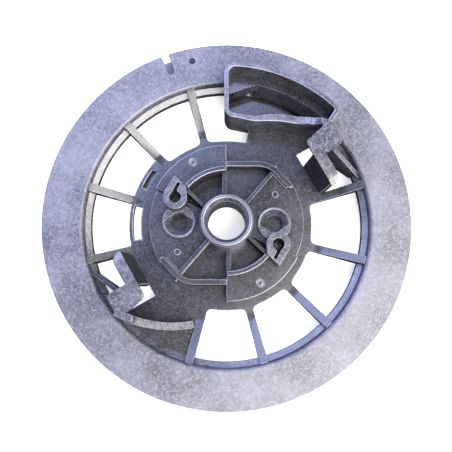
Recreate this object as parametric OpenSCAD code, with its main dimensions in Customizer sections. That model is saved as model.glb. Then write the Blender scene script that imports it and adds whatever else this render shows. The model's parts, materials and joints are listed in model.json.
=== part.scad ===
// Recoil starter rope pulley for a small four stroke engine, one moulding in glass filled nylon.
// Origin on the spin axis in the plane of the spring cup's rear edge. +Z points to the pawl side,
// +X to the right and +Y up when the pawl side is looked at. Millimetres.

/* [Rim] */
// Outer diameter of the front flange
rim_d = 165; // [150:1:180]
// Outer diameter of the rear flange
rear_flange_d = 163; // [148:1:178]
// Height of the front flange face over the spring cup's edge
face_z = 16; // [14:0.5:20]
// Thickness of each flange
flange_t = 2; // [1.5:0.1:3]
// Clear width of the rope groove
groove_w = 5.4; // [4:0.1:8]
// Inside radius of the rim
rim_in_r = 63.8; // [60:0.1:68]
// Radius at the bottom of the rope groove
groove_r = 65.9; // [62:0.1:70]
// Rounding of the front flange's inner edge
rim_round = 1.9; // [0.5:0.1:2]
// Inside radius of the ledge ring
ledge_r = 61.3; // [58:0.1:63]
// Width of the rope notch in the front flange
notch_w = 3.3; // [2:0.1:6]
// Depth of the rope notch
notch_l = 8; // [4:0.5:12]
// Diameter of the small hole in the front flange
tie_hole_d = 2.9; // [2:0.1:4]

/* [Spokes and webs] */
// Width of a spoke
spoke_w = 3.5; // [2.5:0.1:6]
// Radius where a spoke starts to rise to the rim
spoke_rise_r = 45; // [42:0.5:55]
// Thickness of the hub plate and of the two webs
plate_t = 2.2; // [1.6:0.1:4]
// Drop of the hub plate's face under the front flange face
plate_drop = 5.2; // [3:0.1:8]
// Angle where the right web ends
web_end = 77; // [70:0.5:84]

// Radius of the fillets where a spoke meets the hub
flare_r = 2; // [1:0.1:4]

/* [Hub] */
// Radius of the hub plate and of the spring cup outside
hub_r = 38.7; // [36:0.1:42]
// Wall of the spring cup
cup_t = 2.2; // [1.6:0.1:3]
// Bore diameter of the centre boss
bore_d = 16.8; // [12:0.1:20]
// Outer diameter of the centre boss
boss_d = 23.4; // [20:0.1:28]
// Height of the centre boss over the front flange face
boss_up = 10; // [6:0.5:14]
// Length of the centre boss
boss_l = 19.4; // [14:0.2:26]
// Height of the raised pads and curved walls over the face
pad_up = 2.6; // [1:0.1:4]
// Outer radius of the pads and pawl floors
pad_r = 35; // [33:0.1:37]
// Drop of the pawl floors under the flange face
floor_drop = 0.4; // [0:0.1:3]
// Height of the arc walls and spring posts over the face
post_up = 9; // [6:0.5:12]
// Inner radius of the arc walls
arc_in_r = 22.1; // [18:0.1:24]
// Outer radius of the arc walls
arc_out_r = 24.1; // [20:0.1:26]
// Width of the hub ribs
rib_w = 1.6; // [1:0.1:3]

/* [Pawl pivots and spring posts] */
// Distance of a pawl pivot from the spin axis
pivot_r = 21.2; // [18:0.1:24]
// Diameter of a pawl pivot hole
pivot_d = 7.8; // [6:0.1:10]
// Outer diameter of a pawl boss
pawl_boss_d = 14.7; // [12:0.1:18]
// Height of a pawl boss over the face
pawl_up = 1.9; // [1:0.1:4]
// Diameter of a spring post
post_d = 10.4; // [8:0.1:13]
// Diameter of the spring hole in a post
post_hole_d = 5.2; // [4:0.1:7]
// Distance from a post's centre to its pointed end
post_tip = 9.6; // [8:0.1:12]
// Width of the spring slot in a post
post_slot_w = 1.3; // [0.8:0.1:2]

/* [Knot pocket] */
// Height of the pocket's edge over the face
pocket_up = 12; // [8:0.5:15]
// Depth of the pocket's underside under the face
pocket_down = 11.4; // [8:0.1:14]
// Outer radius of the pocket
pocket_r = 70.4; // [66:0.1:75]
// Wall of the pocket
pocket_t = 2; // [1.5:0.1:3]
// Diameter of the rope hole
rope_d = 4.2; // [3:0.1:5]

/* [Hooks] */
// Direction of the hooks
hook_a = 29.4; // [25:0.1:35]
// Height of the hook heads over the face
hook_up = 16.5; // [12:0.5:20]
// Depth of the hook walls under the face
hook_down = 12; // [6:0.5:14]
// Thickness of the hook heads
hook_t = 2.4; // [1.6:0.1:4]

/* [Hidden] */
$fn = 180;
eps = 0.01;
rim_r = rim_d / 2;
flange_z = face_z - flange_t;
groove_z = flange_z - groove_w;
rim_z = groove_z - flange_t;
plate_z = face_z - plate_drop;
back_z = plate_z - plate_t;
boss_r = boss_d / 2;
pad_z = face_z + pad_up;
floor_z = face_z - floor_drop;
post_z = face_z + post_up;
pawl_z = face_z + pawl_up;
low_z = face_z - pocket_down;
pocket_z = face_z + pocket_up;
head_z = face_z + hook_up;
foot_z = face_z - hook_down;
cup_r = hub_r - cup_t;
cone_z = plate_z + 1;
shelf_r = 65;
moulding = [0.20, 0.20, 0.23];

// A disc between two heights
module disc(r, z0, z1) {
  translate([0, 0, z0]) cylinder(r = r, h = z1 - z0);
}

// A ring between two radii and two heights
module ring(r0, r1, z0, z1) {
  difference() {
    disc(r1, z0, z1);
    disc(r0, z0 - 1, z1 + 1);
  }
}

// A flat wedge from angle a0 to a1, for angles under 180 degrees apart
module wedge(a0, a1, r) {
  am = (a0 + a1) / 2;
  k = r / cos((a1 - a0) / 2);
  polygon([[0, 0], r * [cos(a0), sin(a0)], k * [cos(am), sin(am)], r * [cos(a1), sin(a1)]]);
}

// A ring sector
module sector(a0, a1, r0, r1, z0, z1) {
  translate([0, 0, z0]) linear_extrude(z1 - z0) difference() {
    intersection() {
      circle(r = r1);
      wedge(a0, a1, 2 * r1);
    }
    circle(r = r0);
  }
}

// A straight bar from p to q, w wide
module bar2d(p, q, w) {
  d = q - p;
  n = [-d[1], d[0]] / norm(d) * w / 2;
  polygon([p - n, q - n, q + n, p + n]);
}

// Copy turned half a turn about the spin axis
module half_turn() {
  rotate([0, 0, 180]) children();
}

// Outline of the knot pocket, g inside its outer face
corner_r = 5;
corner_c = [corner_r - 1, sqrt(pow(pocket_r - corner_r, 2) - pow(corner_r - 1, 2))];
low_r = 4.5;
end_n = [cos(-32.6), sin(-32.6)];
end_u = [-end_n[1], end_n[0]];
end_d = 15.8;
end_r = 3;
end_c = (end_d - end_r) * end_n + sqrt(pow(pocket_r - end_r, 2) - pow(end_d - end_r, 2)) * end_u;

module pocket2d(g) {
  R = pocket_r - g;
  cr = corner_r - g;
  lr = low_r - g;
  er = end_r - g;
  bow = g > 0 ? 1 : 0;
  intersection() {
    circle(r = R);
    polygon([
      [low_r - 1, 45.2 + g],
      [12.5, 43.3 + bow * 2.4],
      [17.5, 43.5 + bow * 3.0],
      [23.6, 43.3 + bow * 3.4],
      [31.1, 42.1 + bow * 3.3],
      [36.6, 41.5 + bow * 3.0],
      [42.6, 41.1] + bow * [-1.2, 2.7],
      (end_d - g) * end_n + 58.6 * end_u + bow * [0.5, 1.0],
      end_c + er * end_n,
      end_c + er * end_c / norm(end_c),
      [70, 70],
      [10, 90],
      corner_c + cr * corner_c / norm(corner_c),
      [-1 + g, corner_c[1]],
      [-1 + g, low_r + 45.2]
    ]);
  }
  translate(corner_c) circle(r = cr);
  translate([low_r - 1, 45.2 + low_r]) circle(r = lr);
  translate(end_c) circle(r = er);
}

module front_flange() {
  color(moulding) difference() {
    rotate_extrude() difference() {
      translate([rim_in_r, flange_z]) square([rim_r - rim_in_r, flange_t]);
      difference() {
        translate([rim_in_r - 1, face_z - rim_round]) square([rim_round + 1, rim_round + 1]);
        translate([rim_in_r + rim_round, face_z - rim_round]) circle(r = rim_round);
      }
    }
    rotate([0, 0, 110]) union() {
      translate([rim_r - notch_l, -notch_w / 2, flange_z - 1]) cube([notch_l + 2, notch_w, 4]);
      translate([rim_r - notch_l, 0, flange_z - 1]) cylinder(d = notch_w, h = 4);
    }
    translate([-15.8, 74.9, flange_z - 1]) cylinder(d = tie_hole_d, h = 4);
    translate([0, 0, flange_z - 1]) linear_extrude(4) pocket2d(pocket_t);
  }
}

// Straight bore that the rope takes through the groove bottom
module rope_hole() {
  translate([9.9, 58.2, groove_z + groove_w / 2]) rotate([0, 0, 66]) rotate([0, 90, 0])
    cylinder(d = rope_d, h = 20);
}

module groove_drum() {
  color(moulding) difference() {
    ring(rim_in_r, groove_r, groove_z, flange_z);
    rope_hole();
  }
}

module rear_flange() {
  color(moulding) ring(rim_in_r, rear_flange_d / 2, rim_z, groove_z);
}

// Profile under the front flange: the ledge's top rises a little outwards
module ledge2d() {
  polygon([[ledge_r, rim_z], [rim_in_r, rim_z], [rim_in_r, cone_z], [ledge_r, plate_z]]);
}

module ledge_ring() {
  color(moulding) difference() {
    rotate_extrude() ledge2d();
    rope_hole();
  }
}

// The ledge ring and all outside it, to cut away from what meets the rim
module rim_envelope(z0 = rim_z, z1 = face_z) {
  rotate_extrude() polygon([[ledge_r, z0], [90, z0], [90, z1], [rim_in_r, z1],
    [rim_in_r, cone_z], [ledge_r, plate_z]]);
}

// Outline of the slanted block where the rope comes out
module exit_outline() {
  intersection() {
    circle(r = shelf_r);
    polygon([[1, 57.4], [15, 62.25], [16.5, 66], [1, 66]]);
  }
}

// The flange inside the pocket, with a slope from its edge down to the ledge
module pocket_shelf() {
  color(moulding) difference() {
    intersection() {
      rotate_extrude() polygon([[ledge_r, plate_z], [rim_in_r, cone_z], [rim_in_r, flange_z],
        [74, flange_z], [74, face_z], [shelf_r, face_z]]);
      translate([0, 0, rim_z]) linear_extrude(face_z) pocket2d(pocket_t);
    }
    translate([0, 0, rim_z]) linear_extrude(face_z) exit_outline();
    rope_hole();
  }
}

// Slanted block in the pocket that leads the rope to the knot
module rope_exit_block() {
  color(moulding) difference() {
    translate([0, 0, rim_z]) linear_extrude(face_z - rim_z) exit_outline();
    rim_envelope(rim_z, flange_z);
    // slope at the top edge
    translate([1, 57.4, 0]) rotate([0, 0, 19.1]) rotate([90, 0, 90]) translate([0, 0, -5])
      linear_extrude(30) polygon([[-1, face_z - 1.9], [0, face_z - 1.9], [1.9, face_z],
        [1.9, face_z + 1], [-1, face_z + 1]]);
    rope_hole();
  }
}

// One spoke along +X, its top rising to the rim
module spoke() {
  difference() {
    intersection() {
      translate([0, spoke_w / 2, 0]) rotate([90, 0, 0]) linear_extrude(spoke_w)
        polygon([[30, rim_z], [70, rim_z], [70, face_z + 0.9], [62, face_z - 0.9],
          [spoke_rise_r, plate_z], [30, plate_z]]);
      disc(rim_in_r, 0, face_z);
    }
    disc(hub_r, 0, face_z);
    rim_envelope();
  }
}

// Fillet between the hub's edge and a spoke, on the side that s gives
module flare(s) {
  difference() {
    translate([0, 0, rim_z]) linear_extrude(plate_z - rim_z) difference() {
      translate([hub_r - 1, s > 0 ? spoke_w / 2 - eps : -spoke_w / 2 - flare_r])
        square([flare_r + 1, flare_r + eps]);
      translate([hub_r + flare_r, s * (spoke_w / 2 + flare_r)]) circle(r = flare_r);
    }
    disc(hub_r, 0, face_z);
  }
}

// Each spoke's angle and the sides on which a window meets it at the hub
module spokes() {
  color(moulding)
    for (s = [[16.2, [-1]], [105, [-1, 1]], [135, [-1]], [165, []], [195, []], [255, [1]],
        [285, [-1, 1]], [315, [-1, 1]], [345, [-1, 1]]])
      rotate([0, 0, s[0]]) union() {
        spoke();
        for (side = s[1]) flare(side);
      }
}

module hub_plate() {
  color(moulding) ring(boss_r, hub_r, back_z, plate_z);
}

module spring_cup_wall() {
  color(moulding) difference() {
    ring(cup_r, hub_r, 0, back_z);
    // opening for the outer end of the recoil spring
    sector(172, 182, cup_r - 1, hub_r + 1, -1, back_z - 1.6);
  }
}

module centre_boss() {
  top = face_z + boss_up;
  color(moulding) difference() {
    translate([0, 0, top - boss_l]) cylinder(r = boss_r, h = boss_l);
    translate([0, 0, top - boss_l - 1]) cylinder(d = bore_d, h = boss_l + 2);
    translate([0, 0, top - 1.6]) cylinder(r1 = bore_d / 2, r2 = bore_d / 2 + 1.6 + eps, h = 1.6 + eps);
    rotate_extrude() polygon([[boss_r - 0.7, top], [boss_r + 1, top - 1.7], [boss_r + 1, top + 1],
      [boss_r - 0.7, top + 1]]);
  }
}

// Centre of the right pawl pivot and of the left spring post
pivot_c = [pivot_r, -0.55];
seat_h = 2.8;
post_c = [-22.5, 10.3];

module pawl_floor_right() {
  color(moulding) difference() {
    sector(-28, 49.4, boss_r, pad_r - 0.6, plate_z, floor_z);
    translate([pivot_c[0], pivot_c[1], plate_z - 1]) cylinder(d = pawl_boss_d, h = 9);
    half_turn() translate([post_c[0], post_c[1], plate_z - 1]) post_body(10);
    half_turn() pad_solid(-1, 9);
    curved_solid(plate_z - 1, 9);
    rib_lines(plate_z - 1, 9);
    // nothing stands outside the curved wall
    translate([0, 0, plate_z - 1]) linear_extrude(9)
      polygon([[21.5, 23.4], wall_end, [40, 28.2], [30, 40]]);
  }
}

module pawl_floor_left() {
  half_turn() pawl_floor_right();
}

module pawl_boss_right() {
  color(moulding) difference() {
    translate([pivot_c[0], pivot_c[1], plate_z]) cylinder(d = pawl_boss_d, h = pawl_z - plate_z);
    translate([pivot_c[0], pivot_c[1], plate_z - 1]) cylinder(d = pivot_d, h = 12);
    half_turn() translate([post_c[0], post_c[1], plate_z - 1]) post_body(10);
    // crescent seat for the pawl's eye, with a flat tongue left on the spring post's side
    translate([pivot_c[0], pivot_c[1], 0]) difference() {
      translate([0, 0, pawl_z - seat_h]) cylinder(r1 = pivot_d / 2, r2 = 6.6, h = seat_h + eps);
      translate([0, 0, pawl_z - 4]) linear_extrude(6)
        polygon([[-2.7, -2.7], [-8, 0.2], [-12, -12], [12, -12], [8, 0.8], [2.7, -2.7]]);
    }
  }
}

module pawl_boss_left() {
  half_turn() pawl_boss_right();
}

// The upper left pad, dz0 under the plate face and dz1 high
module pad_solid(dz0, h) {
  sector(90, 154, arc_in_r, pad_r, plate_z + dz0, plate_z + dz0 + h);
}

module raised_pad_upper() {
  color(moulding) difference() {
    sector(90, 154, arc_out_r, pad_r, plate_z, pad_z);
    translate([post_c[0], post_c[1], plate_z - 1]) post_body(10);
    translate([-15, 26.9, pad_z - 0.5]) ring(1.1, 1.7, 0, 1);
  }
}

module raised_pad_lower() {
  half_turn() raised_pad_upper();
}

module arc_wall_upper() {
  color(moulding) difference() {
    sector(90.5, 139, arc_in_r, arc_out_r, plate_z, post_z);
    translate([post_c[0], post_c[1], plate_z - 1]) post_body(20);
  }
}

module arc_wall_lower() {
  half_turn() arc_wall_upper();
}

// The S shaped wall at the upper right
bend_x = 13.9;
wall_y = 26.4;
bend_r = 12;
wall_end = [28.3, 16.5];
module curved_solid(z0, h, w = 2.3) {
  bend_end = [bend_x + bend_r * sin(45), wall_y - bend_r * (1 - cos(45))];
  translate([0, 0, z0]) linear_extrude(h) {
    bar2d([0.02, wall_y], [bend_x + 0.02, wall_y], w);
    translate([bend_x, wall_y - bend_r]) intersection() {
      difference() {
        circle(r = bend_r + w / 2);
        circle(r = bend_r - w / 2);
      }
      wedge(44.5, 90.1, 30);
    }
    bar2d(bend_end + [-0.02, 0.02], wall_end, w);
    translate(wall_end) circle(d = w);
  }
}

module curved_wall_right() {
  color(moulding) {
    curved_solid(plate_z, pad_z - plate_z);
    // low step along the inside of its last stretch
    translate([0, 0, floor_z]) linear_extrude(1.4)
      polygon([[20.9, 22.3], [21.1, 20.9], [26.6, 15.4], [27.6, 16.0]]);
  }
}

module curved_wall_left() {
  half_turn() curved_wall_right();
}

// Pointed outline of a spring post, h high
module post_body(h) {
  ta = acos(post_d / 2 / post_tip);
  linear_extrude(h) {
    circle(d = post_d);
    rotate(90) polygon([[0, 0], [0, -post_d / 2], [4.4, -4.9], [post_tip, 0.3],
      post_d / 2 * [cos(ta), sin(ta)]]);
  }
}

module spring_post_left() {
  color(moulding) translate([post_c[0], post_c[1], plate_z]) difference() {
    post_body(post_z - plate_z);
    translate([0, 0, 2]) cylinder(d = post_hole_d, h = 20);
    // the slot widens towards the hole, so that the spring's leg can swing
    translate([0, 0, 2]) linear_extrude(20)
      polygon([[-2.45, 0.6], [0, 0], [1.0, 2.2], [0.8, 3.3], [1.0 + post_slot_w, 6.1], [1.0, 6.6]]);
  }
}

module spring_post_right() {
  half_turn() spring_post_left();
}

// The three ribs of the upper half, from the boss outwards
module rib_lines(z0, h) {
  translate([0, 0, z0]) linear_extrude(h) bar2d([7.4, 7.1], [20.4, 22.2], rib_w);
}

module rib_set() {
  difference() {
    union() {
      translate([-1.9, 9, plate_z]) cube([1.9, 13.5, face_z + 5 - plate_z]);
      translate([0, 0, plate_z]) linear_extrude(face_z + 5 - plate_z)
        bar2d([-8.6, 5.6], [-20, 16.5], 1.4);
      rib_lines(plate_z, pad_z - plate_z);
    }
    disc(boss_r, 0, 40);
    translate([post_c[0], post_c[1], plate_z - 1]) post_body(20);
    sector(89, 145, arc_in_r, 40, plate_z - 1, 30);
    curved_solid(plate_z - 1, 20);
  }
}

module hub_ribs() {
  color(moulding) {
    rib_set();
    half_turn() rib_set();
  }
}

// The hook's opening through a web, in the hook's own directions
module hook_opening() {
  rotate([0, 0, hook_a]) translate([43.6, -16, back_z - 1]) cube([30, 28.4, plate_t + 2]);
}

// The same opening carried up to the head's underside
module hook_opening_column() {
  rotate([0, 0, hook_a]) translate([43.6, -16, 0]) cube([30, 28.4, plate_z + 0.5]);
}

module web_right() {
  color(moulding) difference() {
    sector(10, web_end, hub_r, ledge_r, back_z, plate_z);
    rotate([0, 0, 16.2]) translate([30, -20, back_z - 1]) cube([40, 20 + spoke_w / 2, 5]);
    hook_opening();
    translate([0, 0, back_z - 1]) linear_extrude(plate_t + 2) pocket2d(0);
  }
}

module web_left() {
  color(moulding) difference() {
    sector(195, 255, hub_r, ledge_r, back_z, plate_z);
    for (a = [195, 255]) rotate([0, 0, a]) translate([30, -spoke_w / 2, back_z - 1])
      cube([40, spoke_w, 5]);
    half_turn() hook_opening();
  }
}

// Plate outside the spring cup with the slot for the recoil spring's end
module anchor_plate() {
  color(moulding) difference() {
    sector(136, 165, hub_r, 43.9, rim_z, plate_z);
    sector(143.3, 156, 39.7, 42, rim_z + 0.8, plate_z + 1);
    for (a = [135, 165]) rotate([0, 0, a]) translate([30, -spoke_w / 2, rim_z - 1])
      cube([40, spoke_w, 9]);
  }
}

module anchor_wall() {
  color(moulding) {
    difference() {
      sector(165, 195, hub_r, 44.1, rim_z, plate_z);
      sector(168, 189.8, 38, 42.4, rim_z - 1, plate_z + 1);
      for (a = [165, 195]) rotate([0, 0, a]) translate([30, -spoke_w / 2, rim_z - 1])
        cube([40, spoke_w, 9]);
    }
  }
}

module pocket_wall() {
  color(moulding) difference() {
    translate([0, 0, low_z + pocket_t]) linear_extrude(pocket_z - low_z - pocket_t) difference() {
      pocket2d(0);
      pocket2d(pocket_t);
    }
    rim_envelope();
    ramp_zone(low_z, 60);
    hook_head_right();
  }
}

module ramp_zone(z0, z1) {
  translate([31.1, 38, z0]) cube([12.4, 7.4, z1 - z0]);
}

module pocket_ramp_wall() {
  color(moulding) difference() {
    intersection() {
      translate([0, 0, low_z + pocket_t]) linear_extrude(head_z - low_z - pocket_t) difference() {
        pocket2d(0);
        pocket2d(pocket_t);
      }
      ramp_zone(low_z, 60);
      translate([0, 60, 0]) rotate([90, 0, 0]) linear_extrude(30) polygon([[31, 0], [60, 0],
        [60, head_z], [41.2, head_z], [38.2, pocket_z + 2.2], [36.4, pocket_z + 2.2],
        [31.1, pocket_z]]);
    }
    rim_envelope();
    hook_head_right();
  }
}

module pocket_floor() {
  color(moulding) difference() {
    translate([0, 0, low_z]) linear_extrude(pocket_t) pocket2d(0);
    ring(rim_in_r, 90, 0, face_z);
  }
}

// Outline of a hook head with its leg, in the hook's own directions
module head2d() {
  difference() {
    union() {
      polygon([[46.1, -9.8], [48.4, -9.8], [50.9, -7.4], [50.9, 3.6], [57.3, 3.6], [59.0, 4.6],
        [60.2, 6.2], [60.2, 10.8], [58.3, 13.0], [55.5, 14.2], [48.2, 12.6], [46.1, 10.4]]);
      translate([48.3, 10.4]) circle(r = 2.2);
      translate([58.2, 11.0]) circle(r = 2);
      translate([58.2, 6.0]) circle(r = 2);
    }
  }
}

module hook_head_right() {
  color(moulding) difference() {
    union() {
      rotate([0, 0, hook_a]) translate([0, 0, head_z - hook_t]) linear_extrude(hook_t) head2d();
      // neck that meets the pocket's wall
      translate([0, 0, head_z - hook_t]) linear_extrude(hook_t)
        polygon([[41.3, 39.0], [45.9, 39.6], [45.6, 41.0], [45.0, 42.4], [41.9, 42.4]]);
    }
    // the leg's end slopes down
    rotate([0, 0, hook_a]) translate([70, 0, 0]) rotate([0, -90, 0]) linear_extrude(40)
      polygon([[head_z + 1, -5.6], [head_z + 1, -20], [head_z - 4, -20], [head_z, -6.6]]);
  }
}

module hook_head_left() {
  color(moulding) half_turn() difference() {
    rotate([0, 0, hook_a]) translate([0, 0, head_z - hook_t]) linear_extrude(hook_t) head2d();
    rotate([0, 0, hook_a]) translate([70, 0, 0]) rotate([0, -90, 0]) linear_extrude(40)
      polygon([[head_z + 1, -5.6], [head_z + 1, -20], [head_z - 4, -20], [head_z, -6.6]]);
  }
}

// Leaning wall under a head, its lower end cut along the spoke at angle a
module hook_wall(a) {
  color(moulding) difference() {
    rotate([0, 0, hook_a]) translate([0, 6.2, 0]) rotate([90, 0, 0])
      linear_extrude(18) polygon([[43.6, foot_z], [45.8, foot_z], [48.2, head_z - hook_t],
        [46.1, head_z - hook_t], [43.6, plate_z]]);
    rotate([0, 0, a]) translate([30, -20, 0]) cube([40, 20 + spoke_w / 2, head_z]);
  }
}

module hook_wall_right() {
  hook_wall(16.2);
}

module hook_wall_left() {
  half_turn() hook_wall(15);
}

// Upright rib from the head to the rim, its top falling outwards
module hook_gusset_right() {
  p = [54.1, 6.4];
  q = [63.3, -11.5];
  d = q - p;
  l = norm(d);
  a = atan2(d[1], d[0]);
  color(moulding) difference() {
    rotate([0, 0, hook_a]) translate([p[0], p[1], 0]) rotate([0, 0, a]) translate([0, 0.95, 0])
      rotate([90, 0, 0]) linear_extrude(1.9) polygon([[0, foot_z], [l + 4, foot_z],
        [l + 4, plate_z + 0.6], [l, plate_z + 1.5], [3.4, head_z - hook_t], [0, head_z - hook_t]]);
    rim_envelope(-1, 60);
  }
}

module hook_gusset_left() {
  half_turn() hook_gusset_right();
}

// Curved arm that runs from the left head back to the spoke, its top falling away
arm_c = [-23.3, 0.45];
arm_r = 46.1;
module curved_arm_left() {
  color(moulding) difference() {
    translate([arm_c[0], arm_c[1], plate_z]) linear_extrude(head_z - plate_z) intersection() {
      difference() {
        circle(r = arm_r + 1.65);
        circle(r = arm_r - 1.65);
      }
      wedge(240, 281, 90);
    }
    translate([0, -30, 0]) rotate([90, 0, 0]) linear_extrude(30) polygon([[-60, head_z + 1],
      [-60, head_z], [-39.2, head_z], [-38.4, head_z - 1.6], [-13, face_z - 0.6],
      [0, face_z - 1.6], [0, head_z + 1]]);
    hook_head_left();
    half_turn() hook_opening_column();
    rim_envelope(0, 60);
    rotate([0, 0, 255]) translate([30, -spoke_w / 2, 0]) cube([40, 30, 40]);
  }
}

front_flange();
groove_drum();
rear_flange();
ledge_ring();
rope_exit_block();
pocket_shelf();
spokes();
hub_plate();
spring_cup_wall();
centre_boss();
pawl_floor_right();
pawl_floor_left();
pawl_boss_right();
pawl_boss_left();
raised_pad_upper();
raised_pad_lower();
arc_wall_upper();
arc_wall_lower();
curved_wall_right();
curved_wall_left();
spring_post_left();
spring_post_right();
hub_ribs();
web_right();
web_left();
anchor_plate();
anchor_wall();
pocket_wall();
pocket_floor();
pocket_ramp_wall();
hook_head_right();
hook_head_left();
hook_wall_right();
hook_wall_left();
hook_gusset_right();
hook_gusset_left();
curved_arm_left();
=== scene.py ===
import json
import math
import bmesh
import bpy
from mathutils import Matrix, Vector
from mathutils.bvhtree import BVHTree


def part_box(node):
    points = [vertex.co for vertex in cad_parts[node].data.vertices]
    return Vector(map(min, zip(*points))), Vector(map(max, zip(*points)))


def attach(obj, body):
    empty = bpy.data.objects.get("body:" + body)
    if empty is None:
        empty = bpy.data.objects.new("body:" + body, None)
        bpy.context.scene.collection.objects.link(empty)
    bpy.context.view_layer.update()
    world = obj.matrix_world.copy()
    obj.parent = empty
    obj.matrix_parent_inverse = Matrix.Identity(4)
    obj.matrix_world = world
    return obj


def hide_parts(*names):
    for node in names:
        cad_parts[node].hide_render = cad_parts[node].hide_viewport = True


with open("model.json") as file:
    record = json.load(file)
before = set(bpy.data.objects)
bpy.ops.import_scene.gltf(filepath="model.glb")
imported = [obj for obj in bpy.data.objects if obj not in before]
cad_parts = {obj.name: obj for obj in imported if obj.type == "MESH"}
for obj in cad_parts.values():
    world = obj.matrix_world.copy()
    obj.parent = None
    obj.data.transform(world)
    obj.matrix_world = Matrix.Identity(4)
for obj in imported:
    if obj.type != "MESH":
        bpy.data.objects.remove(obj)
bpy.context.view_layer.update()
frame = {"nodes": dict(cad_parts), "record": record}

MM = 0.001
PER_METRE = 1000
scene = bpy.context.scene


# ---------------------------------------------------------------- small helpers

def linear(text):
    """sRGB hex to the linear colour that shaders take."""
    out = []
    for i in (0, 2, 4):
        c = int(text[i:i + 2], 16) / 255
        out.append(c / 12.92 if c <= 0.04045 else ((c + 0.055) / 1.055) ** 2.4)
    return (*out, 1.0)


def add(tree, kind, settings=None, **links):
    """One node. Its properties and sockets come from settings. Each link goes to the input of that name,
    with _ for a space, or to input number n where it is called in."""
    node = tree.nodes.new(kind)
    for key, value in (settings or {}).items():
        if hasattr(node, key):
            setattr(node, key, value)
        else:
            node.inputs[int(key) if key.isdigit() else key].default_value = value
    for key, source in links.items():
        numbered = key[0] == "i" and key[1:].isdigit()
        socket = int(key[1:]) if numbered else key.replace("_", " ")
        tree.links.new(source, node.inputs[socket])
    return node


# ---------------------------------------------------------------- materials

STRAND_MM = 0.62            # width of one fibre strand
STRAND_LENGTH = 4.0         # times its width
STRAND_TURNS = (0.3, 0.3 + math.pi / 3, 0.3 + 2 * math.pi / 3)
# pale colour of the painted highlight on rounded edges and on the pin rings
PAINTED_HIGHLIGHT_COLOUR = "a4a4ae"
WALL_TILT = (0.3, 0.1)      # upright part of the normal at which a face starts to be, and fully is, a wall
WALL_EXTRA_ROUGHNESS = 0.6
MIRROR_OF_FACES = 0.7
MIRROR_OF_WALLS = 0.1


def noise(tree, size_mm, detail, roughness, place):
    """Noise with grains of about this size."""
    settings = {"Scale": PER_METRE / size_mm, "Detail": detail, "Roughness": roughness}
    return add(tree, "ShaderNodeTexNoise", settings, Vector=place).outputs["Fac"]


def ramp(tree, source, start, end, low, high):
    """source taken from the range start to end into the range low to high, and held there."""
    settings = {"From Min": start, "From Max": end, "To Min": low, "To Max": high}
    return add(tree, "ShaderNodeMapRange", settings, Value=source).outputs[0]


def over(tree, under, colour, mask):
    """A colour laid over another one as far as the mask says."""
    settings = {"data_type": "RGBA", "7": linear(colour)}
    return add(tree, "ShaderNodeMix", settings, i0=mask, i6=under).outputs[2]


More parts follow.
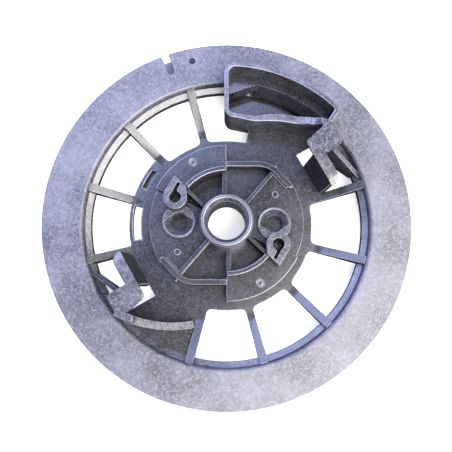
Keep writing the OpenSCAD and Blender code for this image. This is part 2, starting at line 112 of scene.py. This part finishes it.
def nylon(name, dark, mid, pale, rough, cloud_mm, grain_mm, grain, fibre, bloom, scuffed, painted_highlight):
    """Black glass-filled nylon: a dark body, cloudy pale bloom where the melt front slowed, short pale
    fibres near the skin lying every way, and a fine spark-eroded grain. Walls along the pull of the mould
    are scuffed dull, and rounded edges get a pale painted highlight. Sizes are in millimetres, and the last
    five values say how strong each effect is."""
    m = bpy.data.materials.new(name)
    m.use_nodes = True
    t = m.node_tree
    t.nodes.clear()
    out = add(t, "ShaderNodeOutputMaterial")
    coordinates = add(t, "ShaderNodeTexCoord").outputs
    where = coordinates["Object"]
    tilt = add(t, "ShaderNodeSeparateXYZ", None, Vector=coordinates["Normal"]).outputs["Z"]
    facing_up = add(t, "ShaderNodeMath", {"operation": "ABSOLUTE"}, i0=tilt).outputs[0]

    # broad clouds, where the melt front left more or less fibre at the skin, and grit of the eroded cavity
    cloud = noise(t, cloud_mm, 4.0, 0.6, where)
    grit = noise(t, grain_mm, 3.0, 0.65, where)
    # fibres lie in short strands: three sets a third of a turn apart, and the strongest one shows
    strands = []
    for turn in STRAND_TURNS:
        stretch = {"vector_type": "TEXTURE", "Rotation": (0.0, 0.0, turn),
                   "Scale": (1.0, STRAND_LENGTH, 1.0)}
        lay = add(t, "ShaderNodeMapping", stretch, Vector=where).outputs[0]
        strands.append(noise(t, STRAND_MM, 1.0, 0.5, lay))
    pair = add(t, "ShaderNodeMath", {"operation": "MAXIMUM"}, i0=strands[0], i1=strands[1]).outputs[0]
    strand = add(t, "ShaderNodeMath", {"operation": "MAXIMUM"}, i0=pair, i1=strands[2]).outputs[0]

    body = add(t, "ShaderNodeMix", {"data_type": "RGBA", "6": linear(dark), "7": linear(mid)},
               i0=ramp(t, grit, 0.35, 0.68, 0.0, 1.0)).outputs[2]
    clouded = over(t, body, pale, ramp(t, cloud, 0.36, 0.66, 0.0, bloom))
    streaked = over(t, clouded, pale, ramp(t, strand, 0.58, 0.72, 0.0, fibre))
    # the roundings, marked by a face attribute, get a pale painted highlight that stands in for light caught
    # on their curves
    rounding = add(t, "ShaderNodeAttribute", {"attribute_name": "painted_highlight"}).outputs["Fac"]
    painted_highlight_mask = add(t, "ShaderNodeMath", {"operation": "MULTIPLY", "1": painted_highlight}, i0=rounding).outputs[0]
    colour = over(t, streaked, PAINTED_HIGHLIGHT_COLOUR, painted_highlight_mask)

    # ejection scuffs the upright walls, so they mirror little
    wall = ramp(t, facing_up, *WALL_TILT, 0.0, scuffed)
    shine = ramp(t, grit, 0.3, 0.7, rough - 0.05, rough + 0.05)
    roughness = add(t, "ShaderNodeMath", {"operation": "MULTIPLY_ADD", "1": WALL_EXTRA_ROUGHNESS},
                    i0=wall, i2=shine).outputs[0]
    mirror = ramp(t, wall, 0.0, 1.0, MIRROR_OF_FACES, MIRROR_OF_WALLS)
    height = add(t, "ShaderNodeMath", {"operation": "MULTIPLY_ADD", "1": 0.3}, i0=strand, i2=grit).outputs[0]
    bump = add(t, "ShaderNodeBump", {"Strength": grain, "Distance": 0.1 * MM}, Height=height).outputs[0]
    skin = add(t, "ShaderNodeBsdfPrincipled", {"IOR": 1.56}, Base_Color=colour, Roughness=roughness,
               Normal=bump, Specular_IOR_Level=mirror)
    t.links.new(skin.outputs[0], out.inputs["Surface"])
    return m


# spark-eroded rim: matt, dusty grey-blue because the open grain scatters light
FROSTED = nylon("frosted_glass_filled_nylon", dark="08080b", mid="404047", pale="70707a", rough=0.42,
                cloud_mm=20.0, grain_mm=1.25, grain=0.9, fibre=0.6, bloom=0.45, scuffed=0.5, painted_highlight=0.0)
# plain moulded skin of the hub and spokes: darker, a little glossier
SATIN = nylon("satin_glass_filled_nylon", dark="0c0c0f", mid="212125", pale="424249", rough=0.21,
              cloud_mm=14.0, grain_mm=1.1, grain=0.12, fibre=0.5, bloom=0.42, scuffed=1.0, painted_highlight=0.42)
# standing parts: between the two, with a fine peppered top
EDGES = nylon("peppered_glass_filled_nylon", dark="0b0b0f", mid="2a2a31", pale="686872", rough=0.28,
              cloud_mm=10.0, grain_mm=1.0, grain=0.4, fibre=0.75, bloom=0.4, scuffed=1.0, painted_highlight=0.3)
# the centre boss, whose bore the housing's post has polished, and whose rounded rim carries the painted
# highlight
BEARING = nylon("polished_glass_filled_nylon", dark="141418", mid="303037", pale="606069", rough=0.26,
                cloud_mm=10.0, grain_mm=1.0, grain=0.3, fibre=0.6, bloom=0.4, scuffed=0.0, painted_highlight=0.35)
FINISH = {"frosted_face": FROSTED, "satin_moulding": SATIN, "moulded_edges": EDGES}
SPECIAL_FINISH = {"centre_boss": BEARING}


# ---------------------------------------------------------------- rounded mouldings over the CAD nodes

SLOT_OF = {s["node"]: s["material_slot"] for s in frame["record"]["subparts"]}
WELD = 0.002 * MM                   # corners closer than this are one corner
TOUCH = 0.02 * MM                   # surfaces closer than this belong to one joint
EDGE_ANGLE = math.radians(28)       # edges at least this sharp are rounded
FLAT_ANGLE = math.radians(1)        # faces within this angle count as one flat face
SHADE_ANGLE = math.radians(14)      # facets within this angle shade as one curve
ALONG_EDGE = (0.12, 0.5, 0.88)      # where an edge is tested for a neighbour
FACE_SIZE_WEIGHT = 80               # how much large faces pull the shading normals
FULL_WIDTHS = (1.0, 0.7, 0.5, 0.35)     # parts of the wanted width that are tried in turn
HELD_WIDTHS = (1.0, 0.5)
VOLUME_CHANGE = 0.03                    # the most that rounding may change the volume
AREA_CHANGE = (0.9, 1.005)              # and the range of the new area over the old
# full rings, whose flat faces are kept as quads from edge to edge
RINGS = ("front_flange", "groove_drum", "rear_flange", "ledge_ring", "hub_plate", "spring_cup_wall",
         "centre_boss")


def merged(obj):
    """A welded copy of a CAD node."""
    bm = bmesh.new()
    bm.from_mesh(obj.data)
    bmesh.ops.remove_doubles(bm, verts=bm.verts, dist=WELD)
    bmesh.ops.dissolve_degenerate(bm, dist=WELD, edges=bm.edges)
    return bm


trees = {}
for name, obj in frame["nodes"].items():
    bm = merged(obj)
    trees[name] = (BVHTree.FromBMesh(bm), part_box(name))
    bm.free()


def near_another(point, name, reach):
    """True where another node's surface passes this point: an edge there is a joint inside the moulding."""
    for other, (tree, (low, high)) in trees.items():
        if other == name:
            continue
        if any(point[i] < low[i] - reach or point[i] > high[i] + reach for i in range(3)):
            continue
        if tree.find_nearest(point, reach)[0] is not None:
            return True
    return False


def free_edges(bm, name):
    """Convex edges that no other node touches."""
    found = []
    for e in bm.edges:
        if len(e.link_faces) != 2 or not e.is_convex or e.calc_face_angle(0) < EDGE_ANGLE:
            continue
        a, b = e.verts[0].co, e.verts[1].co
        if not any(near_another(a.lerp(b, k), name, TOUCH) for k in ALONG_EDGE):
            found.append(e)
    return found


def area(bm):
    """Whole surface in square metres."""
    return sum(f.calc_area() for f in bm.faces)


def moulding(name, width_mm, joined, held):
    """The node's solid with its free edges rounded. Flat faces are joined up whole or, where joined is
    False, only into quads. Where held is True, the roundings keep clear of every short facet."""
    bm = merged(frame["nodes"][name])
    if joined:
        bmesh.ops.dissolve_limit(bm, angle_limit=FLAT_ANGLE, use_dissolve_boundaries=False,
                                 verts=bm.verts, edges=bm.edges, delimit={"NORMAL"})
    else:
        bmesh.ops.join_triangles(bm, faces=bm.faces, angle_face_threshold=FLAT_ANGLE,
                                 angle_shape_threshold=math.pi)
    edges = free_edges(bm, name)
    # faces of the roundings are marked so that they take the painted highlight
    painted_highlight = bm.faces.layers.float.new("painted_highlight")
    if edges:
        made = bmesh.ops.bevel(bm, geom=edges, offset=width_mm * MM, offset_type="OFFSET", segments=2,
                               profile=0.5, affect="EDGES", clamp_overlap=held, miter_outer="SHARP",
                               miter_inner="SHARP")
        for face in made["faces"]:
            face[painted_highlight] = 1.0
    bmesh.ops.triangulate(bm, faces=bm.faces)
    return bm


def sound(bm, name):
    """True if the rounded solid is still closed and has nearly the CAD node's volume and area."""
    before = merged(frame["nodes"][name])
    ok = (all(len(e.link_faces) == 2 for e in bm.edges)
          and abs(bm.calc_volume() / before.calc_volume() - 1) < VOLUME_CHANGE
          and AREA_CHANGE[0] < area(bm) / area(before) < AREA_CHANGE[1])
    before.free()
    return ok


def crossing(bm):
    """True where two faces without a common corner cut each other."""
    bm.faces.ensure_lookup_table()
    tree = BVHTree.FromBMesh(bm)
    return any(a < b and not set(bm.faces[a].verts) & set(bm.faces[b].verts) for a, b in tree.overlap(tree))


def even_shading(piece):
    """Normals weighted by face size, so that flat faces stay flat right up to their rounded edges."""
    weighted = piece.modifiers.new("weighted", "WEIGHTED_NORMAL")
    weighted.keep_sharp = True
    weighted.weight = FACE_SIZE_WEIGHT
    seen = piece.evaluated_get(bpy.context.evaluated_depsgraph_get())
    shaded = bpy.data.meshes.new_from_object(seen)
    piece.modifiers.remove(weighted)
    piece.data = shaded


def rounded(name, width_mm):
    """The piece seen in place of a CAD node; narrower rounding is taken where the wide one doesn't fit."""
    if name in RINGS:
        ways = [(part * width_mm, False, True) for part in HELD_WIDTHS]
    else:
        ways = [(part * width_mm, joined, held)
                for held, parts in ((False, FULL_WIDTHS), (True, HELD_WIDTHS))
                for part in parts for joined in (True, False)]
    for width, joined, held in ways:
        bm = moulding(name, width, joined, held)
        if sound(bm, name) and (held or not crossing(bm)):
            break
        bm.free()
    else:
        bm = merged(frame["nodes"][name])
    mesh = bpy.data.meshes.new(name + "_moulding")
    bm.to_mesh(mesh)
    bm.free()
    mesh.shade_smooth()
    mesh.set_sharp_from_angle(angle=SHADE_ANGLE)
    piece = bpy.data.objects.new(name + "_moulding", mesh)
    scene.collection.objects.link(piece)
    even_shading(piece)
    piece.data.materials.append(SPECIAL_FINISH.get(name, FINISH[SLOT_OF[name]]))
    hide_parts(name)
    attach(piece, "root")


USUAL_ROUNDING_MM = 0.3
ROUNDING_MM = {"front_flange": 0.35, "rear_flange": 0.4, "centre_boss": 0.25, "spokes": 0.45,
               "hook_head_right": 0.4, "hook_head_left": 0.4, "pocket_wall": 0.4, "pocket_ramp_wall": 0.4,
               "pocket_shelf": 0.8}
for name in frame["nodes"]:
    rounded(name, ROUNDING_MM.get(name, USUAL_ROUNDING_MM))


# ---------------------------------------------------------------- witness marks of the ejector pins

RING_MM = 1.3
BEAD_MM = 0.22
RING_SIDES = 40
BEAD_SIDES = 8


def top_of(name):
    """Height of a node's top face in metres."""
    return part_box(name)[1][2]


def witness_rings():
    """Node group: a thin raised ring on each point of the mesh."""
    g = bpy.data.node_groups.new("ejector_witness_rings", "GeometryNodeTree")
    g.interface.new_socket("Geometry", in_out="INPUT", socket_type="NodeSocketGeometry")
    for label, value in (("Ring radius", RING_MM * MM), ("Bead radius", BEAD_MM * MM)):
        g.interface.new_socket(label, in_out="INPUT", socket_type="NodeSocketFloat").default_value = value
    g.interface.new_socket("Material", in_out="INPUT", socket_type="NodeSocketMaterial")
    g.interface.new_socket("Geometry", in_out="OUTPUT", socket_type="NodeSocketGeometry")
    start = add(g, "NodeGroupInput").outputs
    line = add(g, "GeometryNodeCurvePrimitiveCircle", {"Resolution": RING_SIDES},
               Radius=start["Ring radius"])
    bead = add(g, "GeometryNodeCurvePrimitiveCircle", {"Resolution": BEAD_SIDES},
               Radius=start["Bead radius"])
    ring = add(g, "GeometryNodeCurveToMesh", None, Curve=line.outputs[0], Profile_Curve=bead.outputs[0])
    placed = add(g, "GeometryNodeInstanceOnPoints", None, Points=start["Geometry"], Instance=ring.outputs[0])
    real = add(g, "GeometryNodeRealizeInstances", None, Geometry=placed.outputs[0])
    finish = add(g, "GeometryNodeSetMaterial", None, Geometry=real.outputs[0], Material=start["Material"])
    add(g, "NodeGroupOutput", None, Geometry=finish.outputs[0])
    return g


# each pin leaves its mark on a pad and, half a turn on, on the other; the pawl floors have one each
PIN_MARKS = [(x * side, y * side, z) for side in (1, -1)
             for x, y, z in ((-15.0, 26.9, top_of("raised_pad_upper") / MM),
                             (21.8, 12.9, top_of("pawl_floor_right") / MM))]
marks_mesh = bpy.data.meshes.new("ejector_marks")
marks_mesh.from_pydata([(x * MM, y * MM, z * MM) for x, y, z in PIN_MARKS], [], [])
marks = bpy.data.objects.new("ejector_marks", marks_mesh)
scene.collection.objects.link(marks)
grow = marks.modifiers.new("rings", "NODES")
grow.node_group = witness_rings()
for item in grow.node_group.interface.items_tree:
    if item.name == "Material":
        grow[item.identifier] = EDGES
seen = marks.evaluated_get(bpy.context.evaluated_depsgraph_get())
marks_mesh = bpy.data.meshes.new_from_object(seen)
marks.modifiers.remove(grow)
marks.data = marks_mesh
marks_mesh.shade_smooth()
# the rings carry the painted highlight all over
marks_painted_highlight = marks_mesh.attributes.new("painted_highlight", "FLOAT", "FACE")
marks_painted_highlight.data.foreach_set("value", [1.0] * len(marks_mesh.polygons))
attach(marks, "root")


# ---------------------------------------------------------------- floor, light and camera

def plain(name, colour, glow):
    """A matt plain colour that gives off a little white light."""
    m = bpy.data.materials.new(name)
    m.use_nodes = True
    skin = m.node_tree.nodes["Principled BSDF"]
    skin.inputs["Base Color"].default_value = linear(colour)
    skin.inputs["Roughness"].default_value = 0.9
    skin.inputs["Emission Color"].default_value = (1, 1, 1, 1)
    skin.inputs["Emission Strength"].default_value = glow
    return m


FLOOR_HALF_WIDTH = 3.0
bm = bmesh.new()
bmesh.ops.create_grid(bm, x_segments=1, y_segments=1, size=FLOOR_HALF_WIDTH)
floor_mesh = bpy.data.meshes.new("floor")
bm.to_mesh(floor_mesh)
bm.free()
floor = bpy.data.objects.new("floor", floor_mesh)
scene.collection.objects.link(floor)
floor_mesh.materials.append(plain("pale_paper", "f4f4f4", 0.5))
# the paper shows white, but the moulding doesn't mirror it
floor.visible_glossy = False
floor.visible_diffuse = False


LAMPS_AIM = Vector((0, 0, 0.02))


def lamp(name, place, size, power, colour):
    """A square soft light, aimed at the part."""
    data = bpy.data.lights.new(name, "AREA")
    data.shape = "SQUARE"
    data.size = size
    data.energy = power
    data.color = linear(colour)[:3]
    obj = bpy.data.objects.new(name, data)
    scene.collection.objects.link(obj)
    obj.location = place
    obj.rotation_euler = (LAMPS_AIM - Vector(place)).to_track_quat("-Z", "Y").to_euler()


# a big bright window to the lower right, mirrored by faces that tilt that way
lamp("window_right", (0.42, -0.352, 0.836), 1.0, 38, "fefaf6")
# clear sky to the upper left, blue and weaker
lamp("sky_left", (-0.35, 0.50, 0.792), 0.85, 20, "b6c2fa")
# a weak low light that picks out upright walls on the right
lamp("low_right", (1.0, -0.3, 0.28), 0.6, 3, "fffaf6")

world = bpy.data.worlds.new("studio")
world.use_nodes = True
background = world.node_tree.nodes["Background"]
background.inputs["Color"].default_value = linear("dfe2ff")
background.inputs["Strength"].default_value = 0.15
scene.world = world
scene.view_settings.view_transform = "Standard"

# the lens stands 327 mm over the flange's face and 43 mm to the near side of the axis, and tips up a little
LENS_MM = (-0.22, -42.93, 342.69)
LENS_TIP = math.radians(7.25)
camera = bpy.data.objects.new("camera", bpy.data.cameras.new("camera"))
camera.data.sensor_width = 36.0
camera.data.lens = 58.86
camera.data.clip_start = 0.01
camera.location = [v * MM for v in LENS_MM]
camera.rotation_euler = (LENS_TIP, 0, 0)
scene.collection.objects.link(camera)
scene.camera = camera
